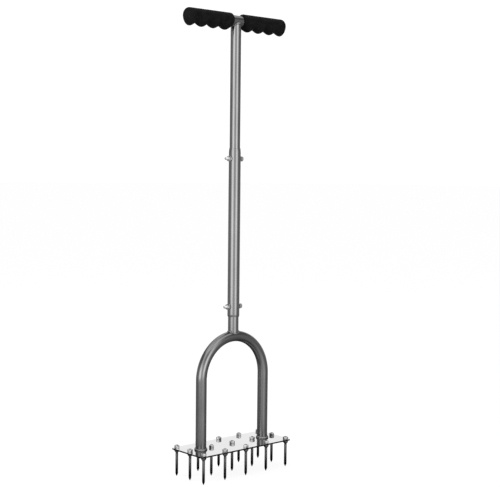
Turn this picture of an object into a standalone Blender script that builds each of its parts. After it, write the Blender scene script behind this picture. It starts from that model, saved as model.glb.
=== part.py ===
"""Hand lawn aerator: a T handle on three bolted tube lengths, a bent fork, and a plate of 15 bolted spikes.

The tip plane of the spikes is z = 0, the pole stands on the Z axis, and the handle, the fork and the long
side of the plate lie along X. Metres throughout.
"""

import math

import bmesh
import bpy

# Stock
TUBE_RADIUS = 0.011
TUBE_WALL = 0.0015
SLEEVE_RADIUS = 0.0125
FIT_GAP = 0.0003
BEAD_RADIUS = 0.002
COPE_SHORT = 0.006

# Heights above the spike tips
PLATE_UNDERSIDE = 0.0555
PLATE_THICKNESS = 0.003
ARCH_SPRING = 0.200
SLEEVE_BOTTOM = 0.325
SLEEVE_TOP = 0.672
CROSSBAR_HEIGHT = 0.931

# Plate and spikes
PLATE_LENGTH = 0.243
PLATE_WIDTH = 0.100
PLATE_CORNER_RADIUS = 0.005
SPIKE_COLUMNS = 5
SPIKE_ROWS = 3
COLUMN_PITCH = 0.056
ROW_PITCH = 0.0435
SHANK_RADIUS = 0.0028
THREAD_RADIUS = 0.003
CONE_LENGTH = 0.0055
TIP_RADIUS = 0.0004
THREAD_BELOW_NUT = 0.006
STUD_PROUD = 0.0008

# Fasteners (M6)
NUT_ACROSS_FLATS = 0.010
NUT_HEIGHT = 0.005
NUT_CHAMFER = 0.0011
NUT_CHAMFER_SLOPE = 0.6
CLEARANCE_RADIUS = 0.0034
WASHER_RADIUS = 0.0062
WASHER_THICKNESS = 0.0012
BOLT_FROM_SLEEVE_END = 0.021
BOLT_FLANGE_RADIUS = 0.0066
BOLT_FLANGE_THICKNESS = 0.0018
BOLT_HEAD_HEIGHT = 0.0056
BOLT_END_PROUD = 0.0063

# Fork and pole joints
LEG_OFFSET = 1.5 * COLUMN_PITCH
INSERTION = 0.060
LEG_WELD_REACH = 0.003
LEG_WELD_HEIGHT = 0.0045
LEG_WELD_BELLY = (0.85, 0.6)
LEG_WELD_CROWN = 0.3

# Handle
GRIP_OUTER_END = 0.131
GRIP_INNER_END = 0.0138
GRIP_RADIUS = 0.015
GRIP_VALLEY_DEPTH = 0.013
GRIP_FINGER_DEPTH = 0.0208
GRIP_FINGER_PITCH = 0.0303
GRIP_FIRST_FINGER = 0.0165
GRIP_FINGER_SHARPNESS = 1.15
GRIP_DOME = 0.0105
GRIP_DOME_POWER = 2.6
GRIP_INNER_ROUND = 0.004
GRIP_END_WALL = 0.004

# Facets
TUBE_SIDES = 28
FORK_BEVEL = 10
ARCH_STEPS = 20
BEAD_POINTS = 20
BEAD_BEVEL = 1
LEG_WELD_SIDES = 20
HOLE_SIDES = 12
DRILL_SIDES = 16
CORNER_STEPS = 5
SPIKE_SIDES = 12
NUT_RIM_SIDES = 12
NUT_BORE_SIDES = 8
BOLT_SIDES = 18
GRIP_STATIONS = 32
GRIP_SIDES = 20

PLATE_TOP = PLATE_UNDERSIDE + PLATE_THICKNESS
LEG_FOOT = PLATE_TOP + FIT_GAP
STEM_FOOT = ARCH_SPRING + LEG_OFFSET + COPE_SHORT
POLE_TOP = CROSSBAR_HEIGHT - COPE_SHORT
UPPER_BOLT_HEIGHT = SLEEVE_TOP - BOLT_FROM_SLEEVE_END
LOWER_BOLT_HEIGHT = SLEEVE_BOTTOM + BOLT_FROM_SLEEVE_END
MERGE = 1e-6


def new_collection(name):
    """A collection under the scene's own."""
    made = bpy.data.collections.new(name)
    bpy.context.scene.collection.children.link(made)
    return made


def finish(name, colour, metallic, roughness):
    """A Principled material."""
    made = bpy.data.materials.new(name)
    made.use_nodes = True
    shader = made.node_tree.nodes["Principled BSDF"]
    shader.inputs["Base Color"].default_value = (*colour, 1.0)
    shader.inputs["Metallic"].default_value = metallic
    shader.inputs["Roughness"].default_value = roughness
    return made


def add_object(name, data, material=None):
    """An object of the aerator, or a cutter if it has no material."""
    made = bpy.data.objects.new(name, data)
    if material is None:
        cutters.objects.link(made)
        made.hide_render = True
        made.display_type = "WIRE"
    else:
        aerator.objects.link(made)
        data.materials.append(material)
    return made


def turned(name, profile, sides, material=None, closed=False):
    """A profile of (radius, height) points turned about Z. It runs down the outer side."""
    mesh = bpy.data.meshes.new(name)
    points = [(radius, 0.0, height) for radius, height in profile]
    edges = [(i, i + 1) for i in range(len(points) - 1)]
    if closed:
        edges.append((len(points) - 1, 0))
    mesh.from_pydata(points, edges, [])
    made = add_object(name, mesh, material)
    screw = made.modifiers.new("turn", "SCREW")
    screw.axis = "Z"
    screw.steps = sides
    screw.render_steps = sides
    screw.use_merge_vertices = True
    screw.merge_threshold = MERGE
    screw.use_smooth_shade = True
    return made


def tube(name, radius, wall, bottom, top, material=None):
    """An upright tube on the Z axis, open at both ends."""
    bore = radius - wall
    profile = [(radius, top), (radius, bottom), (bore, bottom), (bore, top)]
    return turned(name, profile, TUBE_SIDES, material, closed=True)


def rod(name, radius, bottom, top, sides, material=None):
    """An upright solid cylinder on the Z axis."""
    return turned(name, [(0.0, top), (radius, top), (radius, bottom), (0.0, bottom)], sides, material)


def hexagon(name, across_flats, bottom, top):
    """An upright hexagonal bar on the Z axis."""
    return rod(name, across_flats / 2.0 / math.cos(math.pi / 6.0), bottom, top, 6)


def boolean(target, other, operation):
    """A Boolean modifier with the exact solver."""
    modifier = target.modifiers.new(other.name, "BOOLEAN")
    modifier.operation = operation
    modifier.solver = "EXACT"
    modifier.object = other


def evaluated_mesh(source):
    """A mesh of what the object's modifiers or its curve make, with its doubles merged."""
    graph = bpy.context.evaluated_depsgraph_get()
    mesh = bpy.data.meshes.new_from_object(source.evaluated_get(graph))
    work = bmesh.new()
    work.from_mesh(mesh)
    bmesh.ops.remove_doubles(work, verts=work.verts, dist=MERGE)
    work.to_mesh(mesh)
    work.free()
    return mesh


def discard(source):
    """Remove a shape that has served its purpose."""
    bpy.data.objects.remove(source, do_unlink=True)


def swept(name, points, radius, resolution, cyclic=False, material=None):
    """A round bar along a line of points, as a closed mesh."""
    curve = bpy.data.curves.new(name, "CURVE")
    curve.dimensions = "3D"
    curve.bevel_depth = radius
    curve.bevel_resolution = resolution
    curve.use_fill_caps = not cyclic
    spline = curve.splines.new("POLY")
    spline.points.add(len(points) - 1)
    for place, point in zip(spline.points, points):
        place.co = (*point, 1.0)
    spline.use_cyclic_u = cyclic
    guide = add_object(name + "_line", curve)
    made = add_object(name, evaluated_mesh(guide), material)
    discard(guide)
    made.data.shade_smooth()
    return made


def saddle(height_at):
    """Points round the pole where it lands on another tube of the same size."""
    ring = []
    for step in range(BEAD_POINTS):
        turn = 2.0 * math.pi * step / BEAD_POINTS
        x = TUBE_RADIUS * math.cos(turn)
        ring.append((x, TUBE_RADIUS * math.sin(turn), height_at(x)))
    return ring


def arch_saddle(x):
    """Height of the bead on the fork: along the saddle, but never deeper than the stem is cut."""
    across = (x**4 + COPE_SHORT**4) ** 0.25
    return ARCH_SPRING + math.sqrt((LEG_OFFSET + across) ** 2 - x**2)


def crossbar_saddle(x):
    """Height of the bead under the crossbar: along the saddle, but no higher than the pole is cut."""
    return CROSSBAR_HEIGHT - (x**4 + COPE_SHORT**4) ** 0.25


def along_x(made, height):
    """Lay a shape that was turned about Z along +X at a height on the pole."""
    made.rotation_euler = (0.0, math.pi / 2.0, 0.0)
    made.location = (0.0, 0.0, height)


# The scene
for old in list(bpy.data.objects):
    bpy.data.objects.remove(old, do_unlink=True)
aerator = new_collection("lawn_aerator")
cutters = new_collection("cutters")

GREY_STEEL = finish("grey_steel", (0.30, 0.30, 0.30), 0.9, 0.32)
PLATE_STEEL = finish("plate_steel", (0.72, 0.72, 0.72), 1.0, 0.12)
SPIKE_STEEL = finish("spike_steel", (0.42, 0.42, 0.42), 1.0, 0.35)
ZINC = finish("zinc", (0.65, 0.65, 0.66), 1.0, 0.28)
RUBBER = finish("rubber", (0.015, 0.015, 0.015), 0.0, 0.55)


# Spike plate: a rounded rectangle of sheet with a hole for each stud
def outline(curve, points):
    """A closed line of points in a flat curve."""
    spline = curve.splines.new("POLY")
    spline.points.add(len(points) - 1)
    for place, (x, y) in zip(spline.points, points):
        place.co = (x, y, 0.0, 1.0)
    spline.use_cyclic_u = True


def circle(x, y, radius, count):
    """Points of a circle."""
    turns = [2.0 * math.pi * step / count for step in range(count)]
    return [(x + radius * math.cos(turn), y + radius * math.sin(turn)) for turn in turns]


def rounded_rectangle(length, width, radius, steps):
    """Points of a rectangle with round corners."""
    points = []
    for corner, (side_x, side_y) in enumerate(((1, 1), (-1, 1), (-1, -1), (1, -1))):
        centre_x = side_x * (length / 2.0 - radius)
        centre_y = side_y * (width / 2.0 - radius)
        for step in range(steps + 1):
            turn = math.pi / 2.0 * (corner + step / steps)
            points.append((centre_x + radius * math.cos(turn), centre_y + radius * math.sin(turn)))
    return points


def spike_places():
    """The number and the place of each spike: columns along X, rows from front to back."""
    places = []
    for column in range(SPIKE_COLUMNS):
        for row in range(SPIKE_ROWS):
            x = (column - (SPIKE_COLUMNS - 1) / 2.0) * COLUMN_PITCH
            y = (row - (SPIKE_ROWS - 1) / 2.0) * ROW_PITCH
            places.append((len(places) + 1, x, y))
    return places


sheet = bpy.data.curves.new("spike_plate", "CURVE")
sheet.dimensions = "2D"
sheet.fill_mode = "BOTH"
sheet.extrude = PLATE_THICKNESS / 2.0
outline(sheet, rounded_rectangle(PLATE_LENGTH, PLATE_WIDTH, PLATE_CORNER_RADIUS, CORNER_STEPS))
for _, hole_x, hole_y in spike_places():
    outline(sheet, circle(hole_x, hole_y, CLEARANCE_RADIUS, HOLE_SIDES))
plate = add_object("spike_plate", sheet, PLATE_STEEL)
plate.location.z = PLATE_UNDERSIDE + PLATE_THICKNESS / 2.0


# Hex nuts: a hexagonal prism, both rims turned down, and a clear bore
def nut_mesh():
    """One nut, standing on z = 0 about the Z axis."""
    corner = NUT_ACROSS_FLATS / 2.0 / math.cos(math.pi / 6.0)
    block = hexagon("nut_block", NUT_ACROSS_FLATS, 0.0, NUT_HEIGHT)
    rim = corner - NUT_CHAMFER
    drop = NUT_CHAMFER_SLOPE * NUT_CHAMFER
    barrel_profile = [
        (0.0, NUT_HEIGHT + FIT_GAP),
        (rim - FIT_GAP, NUT_HEIGHT + FIT_GAP),
        (rim, NUT_HEIGHT),
        (corner, NUT_HEIGHT - drop),
        (corner + NUT_CHAMFER, NUT_HEIGHT - 2.0 * drop),
        (corner + NUT_CHAMFER, 2.0 * drop),
        (corner, drop),
        (rim, 0.0),
        (rim - FIT_GAP, -FIT_GAP),
        (0.0, -FIT_GAP),
    ]
    barrel = turned("nut_barrel", barrel_profile, NUT_RIM_SIDES)
    bore = rod("nut_bore", CLEARANCE_RADIUS, -NUT_HEIGHT, 2.0 * NUT_HEIGHT, NUT_BORE_SIDES)
    boolean(block, barrel, "INTERSECT")
    boolean(block, bore, "DIFFERENCE")
    mesh = evaluated_mesh(block)
    for spent in (block, barrel, bore):
        discard(spent)
    return mesh


NUT = nut_mesh()
NUT.materials.append(ZINC)

# Spikes: a threaded stud, a plain shank and a cone point
LOWER_NUT_HEIGHT = PLATE_UNDERSIDE - FIT_GAP - NUT_HEIGHT
UPPER_NUT_HEIGHT = PLATE_TOP + FIT_GAP
STUD_TOP = UPPER_NUT_HEIGHT + NUT_HEIGHT + STUD_PROUD
THREAD_END = LOWER_NUT_HEIGHT - THREAD_BELOW_NUT
STEP = THREAD_RADIUS - SHANK_RADIUS
spike_profile = [
    (0.0, STUD_TOP),
    (SHANK_RADIUS, STUD_TOP),
    (THREAD_RADIUS, STUD_TOP - STEP),
    (THREAD_RADIUS, THREAD_END),
    (SHANK_RADIUS, THREAD_END - STEP),
    (SHANK_RADIUS, CONE_LENGTH),
    (TIP_RADIUS, 0.0),
    (0.0, 0.0),
]
blank = turned("spike_blank", spike_profile, SPIKE_SIDES)
SPIKE = evaluated_mesh(blank)
discard(blank)
SPIKE.shade_smooth()

SPIKE.materials.append(SPIKE_STEEL)

# Each nut stops at its own angle when it is tightened
LOWER_NUT_TURN = 0.37
UPPER_NUT_TURN = 0.59
for number, spike_x, spike_y in spike_places():
    for kind, mesh, height, turn in (
        ("spike", SPIKE, 0.0, 0.0),
        ("lower_nut", NUT, LOWER_NUT_HEIGHT, LOWER_NUT_TURN * number),
        ("upper_nut", NUT, UPPER_NUT_HEIGHT, UPPER_NUT_TURN * number),
    ):
        piece = bpy.data.objects.new(f"{kind}_{number:02d}", mesh)
        aerator.objects.link(piece)
        piece.location = (spike_x, spike_y, height)
        piece.rotation_euler.z = turn


# Fork: one tube bent to an arch between two straight legs, with the beads that join it to plate and stem
def fork_line(overrun):
    """The centre line of the fork, past its feet by the overrun."""
    foot = LEG_FOOT - overrun
    points = [(-LEG_OFFSET, 0.0, foot)]
    for step in range(ARCH_STEPS + 1):
        turn = math.pi * (1.0 - step / ARCH_STEPS)
        points.append(
            (LEG_OFFSET * math.cos(turn), 0.0, ARCH_SPRING + LEG_OFFSET * math.sin(turn))
        )
    points.append((LEG_OFFSET, 0.0, foot))
    return points


fork = swept("fork_tube", fork_line(0.0), TUBE_RADIUS, FORK_BEVEL, material=GREY_STEEL)
fork_bore = swept("fork_bore", fork_line(TUBE_RADIUS), TUBE_RADIUS - TUBE_WALL, FORK_BEVEL)
root = TUBE_RADIUS - TUBE_WALL / 2.0
belly_reach, belly_rise = LEG_WELD_BELLY
leg_weld_profile = [
    (root, LEG_FOOT + LEG_WELD_HEIGHT),
    (TUBE_RADIUS + LEG_WELD_CROWN * LEG_WELD_REACH, LEG_FOOT + LEG_WELD_HEIGHT),
    (TUBE_RADIUS + belly_reach * LEG_WELD_REACH, LEG_FOOT + belly_rise * LEG_WELD_HEIGHT),
    (TUBE_RADIUS + LEG_WELD_REACH, LEG_FOOT),
    (root, LEG_FOOT),
]
for side, side_name in ((-1, "left"), (1, "right")):
    bead = turned(f"{side_name}_leg_bead", leg_weld_profile, LEG_WELD_SIDES, closed=True)
    bead.location.x = side * LEG_OFFSET
    boolean(fork, bead, "UNION")
stem_bead = swept("stem_bead", saddle(arch_saddle), BEAD_RADIUS, BEAD_BEVEL, cyclic=True)
stem_space = rod("stem_space", TUBE_RADIUS + FIT_GAP, ARCH_SPRING, SLEEVE_TOP, TUBE_SIDES)
boolean(stem_bead, stem_space, "DIFFERENCE")
boolean(fork, stem_bead, "UNION")
boolean(fork, fork_bore, "DIFFERENCE")

# Stem: a short tube with a shallow saddle cut in its foot, going up into the sleeve
stem = tube(
    "stem_tube", TUBE_RADIUS, TUBE_WALL, STEM_FOOT, SLEEVE_BOTTOM + INSERTION, GREY_STEEL
)
arch_space = swept("arch_space", fork_line(0.0), TUBE_RADIUS + FIT_GAP, FORK_BEVEL)
boolean(stem, arch_space, "DIFFERENCE")

# Sleeve: the wider middle length that takes the stem below and the pole above
SLEEVE_WALL = SLEEVE_RADIUS - TUBE_RADIUS - FIT_GAP
sleeve = tube("sleeve_tube", SLEEVE_RADIUS, SLEEVE_WALL, SLEEVE_BOTTOM, SLEEVE_TOP, GREY_STEEL)

# Crossbar: a straight tube from grip to grip
BAR_END = GRIP_OUTER_END - GRIP_END_WALL - FIT_GAP
crossbar = tube("crossbar_tube", TUBE_RADIUS, TUBE_WALL, -BAR_END, BAR_END, GREY_STEEL)
along_x(crossbar, CROSSBAR_HEIGHT)

# Upper pole: its top has a shallow saddle under the crossbar and carries the bead that joins them
pole = tube(
    "upper_pole", TUBE_RADIUS, TUBE_WALL, SLEEVE_TOP - INSERTION, POLE_TOP, GREY_STEEL
)
bar_space = rod("bar_space", TUBE_RADIUS + FIT_GAP, -BAR_END, BAR_END, TUBE_SIDES)
along_x(bar_space, CROSSBAR_HEIGHT)
handle_bead = swept(
    "handle_bead", saddle(crossbar_saddle), BEAD_RADIUS, BEAD_BEVEL, cyclic=True
)
boolean(pole, handle_bead, "UNION")
boolean(pole, bar_space, "DIFFERENCE")

# Pole joints: a flanged bolt through sleeve and tube, with a washer and a nut on its end
BOLT_SEAT = SLEEVE_RADIUS + FIT_GAP
NUT_FACE = BOLT_SEAT + WASHER_THICKNESS + FIT_GAP
for joint, height, tubes in (
    ("upper_joint", UPPER_BOLT_HEIGHT, (sleeve, pole)),
    ("lower_joint", LOWER_BOLT_HEIGHT, (sleeve, stem)),
):
    reach = 2.0 * SLEEVE_RADIUS
    drill = rod(f"{joint}_drill", CLEARANCE_RADIUS, -reach, reach, DRILL_SIDES)
    along_x(drill, height)
    for drilled in tubes:
        boolean(drilled, drill, "DIFFERENCE")

    bolt_end = -(NUT_FACE + NUT_HEIGHT + BOLT_END_PROUD)
    flange_face = BOLT_SEAT + BOLT_FLANGE_THICKNESS
    bolt_profile = [
        (0.0, flange_face),
        (BOLT_FLANGE_RADIUS, flange_face),
        (BOLT_FLANGE_RADIUS, BOLT_SEAT),
        (THREAD_RADIUS, BOLT_SEAT),
        (THREAD_RADIUS, bolt_end),
        (0.0, bolt_end),
    ]
    bolt = turned(f"{joint}_bolt", bolt_profile, BOLT_SIDES, ZINC)
    head = hexagon(f"{joint}_head", NUT_ACROSS_FLATS, BOLT_SEAT, flange_face + BOLT_HEAD_HEIGHT)
    boolean(bolt, head, "UNION")
    along_x(bolt, height)
    along_x(head, height)

    washer_profile = [
        (WASHER_RADIUS, -BOLT_SEAT),
        (WASHER_RADIUS, -BOLT_SEAT - WASHER_THICKNESS),
        (CLEARANCE_RADIUS, -BOLT_SEAT - WASHER_THICKNESS),
        (CLEARANCE_RADIUS, -BOLT_SEAT),
    ]
    washer = turned(f"{joint}_washer", washer_profile, BOLT_SIDES, ZINC, closed=True)
    along_x(washer, height)

    nut = bpy.data.objects.new(f"{joint}_nut", NUT)
    aerator.objects.link(nut)
    along_x(nut, height)
    nut.location.x = -NUT_FACE - NUT_HEIGHT


# Grips: a sleeve of rubber, closed at its outer end, with four finger swells underneath
GRIP_LAST_RING = 0.0001


def grip_size(along):
    """Half width, and depth below the bar, at a distance from the grip's inner end."""
    length = GRIP_OUTER_END - GRIP_INNER_END
    shrink = 1.0
    if along < GRIP_INNER_ROUND:
        inset = 1.0 - along / GRIP_INNER_ROUND
        shrink = 1.0 - (1.0 - math.sqrt(1.0 - inset**2)) * GRIP_INNER_ROUND / GRIP_RADIUS
    elif along > length - GRIP_DOME:
        inset = 1.0 - (length - along) / GRIP_DOME
        shrink = (1.0 - inset**GRIP_DOME_POWER) ** (1.0 / GRIP_DOME_POWER)
    wave = abs(math.cos(math.pi * (along - GRIP_FIRST_FINGER) / GRIP_FINGER_PITCH))
    wave = wave**GRIP_FINGER_SHARPNESS
    depth = GRIP_VALLEY_DEPTH + (GRIP_FINGER_DEPTH - GRIP_VALLEY_DEPTH) * wave
    return GRIP_RADIUS * shrink, depth * shrink


def grip_mesh(side):
    """Rings of a half circle over a half ellipse, lofted from the inner end to the outer end."""
    length = GRIP_OUTER_END - GRIP_INNER_END
    work = bmesh.new()
    rings = []
    for station in range(GRIP_STATIONS + 1):
        along = 0.5 * length * (1.0 - math.cos(math.pi * station / GRIP_STATIONS))
        width, depth = grip_size(min(along, length - GRIP_LAST_RING))
        ring = []
        for step in range(GRIP_SIDES):
            turn = 2.0 * math.pi * step / GRIP_SIDES
            rise = math.sin(turn)
            z = rise * (width if rise > 0.0 else depth)
            place = (side * (GRIP_INNER_END + along), width * math.cos(turn), CROSSBAR_HEIGHT + z)
            ring.append(work.verts.new(place))
        rings.append(ring)
    for low, high in zip(rings, rings[1:]):
        for step in range(GRIP_SIDES):
            after = (step + 1) % GRIP_SIDES
            work.faces.new((low[step], low[after], high[after], high[step]))
    work.faces.new(rings[0])
    work.faces.new(rings[-1])
    bmesh.ops.recalc_face_normals(work, faces=work.faces)
    mesh = bpy.data.meshes.new("grip")
    work.to_mesh(mesh)
    work.free()
    return mesh


for side, side_name in ((-1, "left"), (1, "right")):
    grip = add_object(f"{side_name}_grip", grip_mesh(side), RUBBER)
    bore_ends = sorted((side * (GRIP_INNER_END - FIT_GAP), side * (BAR_END + FIT_GAP)))
    bar_bore = rod(f"{side_name}_bar_bore", TUBE_RADIUS + FIT_GAP, *bore_ends, TUBE_SIDES)
    along_x(bar_bore, CROSSBAR_HEIGHT)
    boolean(grip, bar_bore, "DIFFERENCE")
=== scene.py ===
"""Hand lawn aerator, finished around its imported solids.

The pole stands on the Z axis, the spike tips lie in the plane z = 0, and the handle, the fork and the long
side of the plate run along X. Metres throughout.
"""

import math

import bmesh
import bpy
import numpy as np
from mathutils import Matrix, Vector


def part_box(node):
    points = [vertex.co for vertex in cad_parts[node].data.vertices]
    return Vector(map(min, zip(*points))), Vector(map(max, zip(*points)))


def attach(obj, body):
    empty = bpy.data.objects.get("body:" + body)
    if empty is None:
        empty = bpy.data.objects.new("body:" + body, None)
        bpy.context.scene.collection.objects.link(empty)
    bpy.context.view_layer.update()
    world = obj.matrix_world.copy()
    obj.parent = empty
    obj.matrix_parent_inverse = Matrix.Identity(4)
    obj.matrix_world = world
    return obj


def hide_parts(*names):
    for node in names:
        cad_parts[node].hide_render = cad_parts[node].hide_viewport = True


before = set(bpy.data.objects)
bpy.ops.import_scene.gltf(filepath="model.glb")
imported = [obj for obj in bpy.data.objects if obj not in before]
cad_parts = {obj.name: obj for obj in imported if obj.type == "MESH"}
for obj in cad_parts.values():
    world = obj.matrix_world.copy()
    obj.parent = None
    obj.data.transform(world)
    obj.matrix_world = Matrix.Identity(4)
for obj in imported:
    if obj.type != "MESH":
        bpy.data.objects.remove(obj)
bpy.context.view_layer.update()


# Spike plate: a strip of 3 mm sheet, plated bright, with its corners rounded and its edges sheared.
# Fifteen clearance holes are punched through it, in five columns of three, and the fork is welded to its
# upper face.
CORNER_RADIUS = 0.005
PUNCHED_RADIUS = 0.0034
SIDE_STEPS = 14
SHEET_RINGS = np.array([0.0, 0.25, 0.55, 0.82, 0.97, 1.0])
EDGE_BREAK = 0.00015
BREAK_ANGLE = math.radians(60.0)
ON_OUTLINE = 1e-6
MERGE = 1e-7
TURN = 2.0 * math.pi

plate_low, plate_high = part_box("spike_plate")


def middle_of(node):
    """The middle of a node's box."""
    low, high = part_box(node)
    return (low + high) / 2.0


SPIKE_NUMBERS = range(1, 16)
studs = {number: middle_of(f"spike_{number:02d}") for number in SPIKE_NUMBERS}


def soft_step(value, low, high):
    """0 below low, 1 above high, and a smooth S between them."""
    share = np.clip((value - low) / (high - low), 0.0, 1.0)
    return share * share * (3.0 - 2.0 * share)


def skin(name, shells, finishes, sharp=34.0):
    """One piece from shells of points.

    A shell is a grid of points, rows by columns, which closes round its columns, and round its rows too if
    it says so. Rows run down the outside while columns run counter-clockwise, so that each square of four
    neighbours faces outwards. Points that meet are merged, which closes poles and joins shells. Each point
    carries its place on the straight stock and a mask for its wear and its painted light and shade.
    """
    points, stock, wear, faces, kinds = [], [], [], [], []
    start = 0
    for shell in shells:
        grid = shell["points"]
        rows, columns = grid.shape[:2]
        row = np.arange(rows if shell.get("closed") else rows - 1)[:, None]
        column = np.arange(columns)[None, :]
        below = (row + 1) % rows
        beside = (column + 1) % columns
        corners = [row * columns + column, below * columns + column]
        corners += [below * columns + beside, row * columns + beside]
        squares = np.stack(corners, axis=-1)
        squares = squares[shell["kept"]] if "kept" in shell else squares.reshape(-1, 4)
        points.append(grid.reshape(-1, 3))
        stock.append(shell.get("stock", grid).reshape(-1, 3))
        wear.append(np.broadcast_to(shell.get("wear", 0.0), (rows, columns)).reshape(-1))
        faces.append(squares + start)
        kinds.append(np.full(len(squares), shell.get("finish", 0)))
        start += rows * columns
    mesh = bpy.data.meshes.new(name)
    mesh.from_pydata(np.concatenate(points), [], np.concatenate(faces).tolist())
    mesh.attributes.new("stock", "FLOAT_VECTOR", "POINT")
    mesh.attributes["stock"].data.foreach_set("vector", np.concatenate(stock).ravel())
    mesh.attributes.new("wear", "FLOAT", "POINT")
    mesh.attributes["wear"].data.foreach_set("value", np.concatenate(wear))
    mesh.polygons.foreach_set("material_index", np.concatenate(kinds))
    work = bmesh.new()
    work.from_mesh(mesh)
    bmesh.ops.remove_doubles(work, verts=work.verts, dist=MERGE)
    work.to_mesh(mesh)
    work.free()
    mesh.shade_smooth()
    mesh.set_sharp_from_angle(angle=math.radians(sharp))
    for finish in finishes:
        mesh.materials.append(finish)
    piece = bpy.data.objects.new(name, mesh)
    bpy.context.scene.collection.objects.link(piece)
    return piece


def fit(piece, slot, *nodes):
    """The piece is part of the rigid tool and stands for its solids, which it hides."""
    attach(piece, "root")
    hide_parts(*nodes)


def cells_between(places, low, high):
    """The places in order, and the ends of their cells: halfway to the next, and the sheet's own ends."""
    places = np.unique(np.round(places, 6))
    halfway = (places[1:] + places[:-1]) / 2.0
    return places, np.concatenate([[low], halfway, [high]])


def outline_gap(spots):
    """How far spots lie outside the sheet's outline: a box less its corner radius, grown by that radius."""
    half = np.array([plate_high.x - plate_low.x, plate_high.y - plate_low.y]) / 2.0 - CORNER_RADIUS
    beyond = np.maximum(np.abs(spots) - half, 0.0)
    return np.linalg.norm(beyond, axis=-1) - CORNER_RADIUS


def cell_rim(west, east, south, north):
    """Spots round a cell, closer towards its corners. Those past a round corner are drawn in to its arc."""
    share = 0.5 - 0.5 * np.cos(math.pi * np.arange(SIDE_STEPS) / SIDE_STEPS)
    still = np.ones(SIDE_STEPS)
    wide, deep = (east - west) * share, (north - south) * share
    x = np.concatenate([west + wide, east * still, east - wide, west * still])
    y = np.concatenate([south * still, south + deep, north * still, north - deep])
    spots = np.stack([x, y], axis=-1)
    half = np.array([plate_high.x, plate_high.y]) - CORNER_RADIUS
    centre = np.clip(spots, -half, half)
    out = spots - centre
    reach = np.linalg.norm(out, axis=-1, keepdims=True)
    return centre + out * np.minimum(1.0, CORNER_RADIUS / np.maximum(reach, MERGE))


def punched_cell(rim, hole_x, hole_y):
    """Sheet about one hole: rings from the rim in to the hole below, then out from the hole above.

    Each ring lies a share of the way from the hole's circle to the rim. The wall between the two faces is
    kept only where the rim is the sheet's own outline.
    """
    middle = np.array([hole_x, hole_y])
    out = rim - middle
    hole = middle + PUNCHED_RADIUS * out / np.linalg.norm(out, axis=1, keepdims=True)
    above = hole + (rim - hole) * SHEET_RINGS[:, None, None]
    rings = np.concatenate([above[::-1], above])
    level = np.repeat([plate_low.z, plate_high.z], len(SHEET_RINGS))
    level = np.broadcast_to(level[:, None, None], rings.shape[:2] + (1,))
    on_outline = outline_gap(rings) > -ON_OUTLINE
    kept = np.ones(rings.shape[:2], bool)
    kept[-1] = on_outline[-1] & np.roll(on_outline[-1], -1)
    points = np.concatenate([rings, level], axis=2)
    return {"points": points, "wear": on_outline * 1.0, "closed": True, "kept": kept}


class Wire:
    """A shader socket. Sums on it add Math nodes, and node() adds any other node to the same tree."""

    def __init__(self, tree, socket=None):
        self.tree = tree
        self.socket = socket

    def node(self, kind, settings=(), values=(), output=0):
        """A node of a kind: its settings first, then a number, a colour or a wire into each socket."""
        made = self.tree.nodes.new("ShaderNode" + kind)
        for name, value in dict(settings).items():
            if name == "stops":
                self.set_stops(made.color_ramp, value)
            else:
                setattr(made, name, value)
        for name, value in dict(values).items():
            if isinstance(value, Wire):
                self.tree.links.new(value.socket, made.inputs[name])
            else:
                made.inputs[name].default_value = value
        return Wire(self.tree, made.outputs[output] if made.outputs else None)

    def set_stops(self, ramp, stops):
        """Grey stops of a ramp, each a place and a tone."""
        ramp.interpolation = "CARDINAL"
        while len(ramp.elements) < len(stops):
            ramp.elements.new(1.0)
        for element, (place, tone) in zip(ramp.elements, stops):
            element.position = place
            element.color = (tone, tone, tone, 1.0)

    def math(self, operation, first, second):
        """A Math node on two values."""
        return self.node("Math", {"operation": operation}, {0: first, 1: second})

    def __add__(self, other):
        return self.math("ADD", self, other)

    __radd__ = __add__

    def __sub__(self, other):
        return self.math("SUBTRACT", self, other)

    def __rsub__(self, other):
        return self.math("SUBTRACT", other, self)

    def __mul__(self, other):
        return self.math("MULTIPLY", self, other)

    __rmul__ = __mul__

    def noise(self, scale, detail=2.0, stretch=(1.0, 1.0, 1.0)):
        """Soft noise on this place, so many lumps to the metre, drawn out by the stretch."""
        place = self.node("Mapping", {}, {"Vector": self, "Scale": stretch})
        return place.node("TexNoise", {}, {"Vector": place, "Scale": scale, "Detail": detail})

    def between(self, low, high):
        """0 below low, 1 above high, and a smooth S between them."""
        limits = {"Value": self, "From Min": low, "From Max": high}
        return self.node("MapRange", {"interpolation_type": "SMOOTHSTEP"}, limits)

    def blend(self, first, second):
        """The first colour where this is 0 and the second where it is 1."""
        return self.node("Mix", {"data_type": "RGBA"}, {0: self, 6: first, 7: second}, 2)

    def bump(self, depth, strength=1.0):
        """A normal for relief of this height times the depth in metres."""
        return self.node("Bump", {}, {"Strength": strength, "Distance": depth, "Height": self})


def grey(tone):
    """A neutral colour."""
    return (tone, tone, tone, 1.0)


def finish_with(name, constants):
    """A material, a wire into its tree, and its shader with these constants set."""
    made = bpy.data.materials.new(name)
    made.use_nodes = True
    shader = made.node_tree.nodes["Principled BSDF"]
    for socket, value in constants.items():
        shader.inputs[socket].default_value = value
    return made, Wire(made.node_tree), shader


def feed(shader, wires):
    """Link wires to a shader's sockets."""
    for name, wire in wires.items():
        wire.tree.links.new(wire.socket, shader.inputs[name])


def attribute(start, name, output):
    """A wire from an attribute of the mesh."""
    return start.node("Attribute", {"attribute_name": name}, {}, output)


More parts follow.
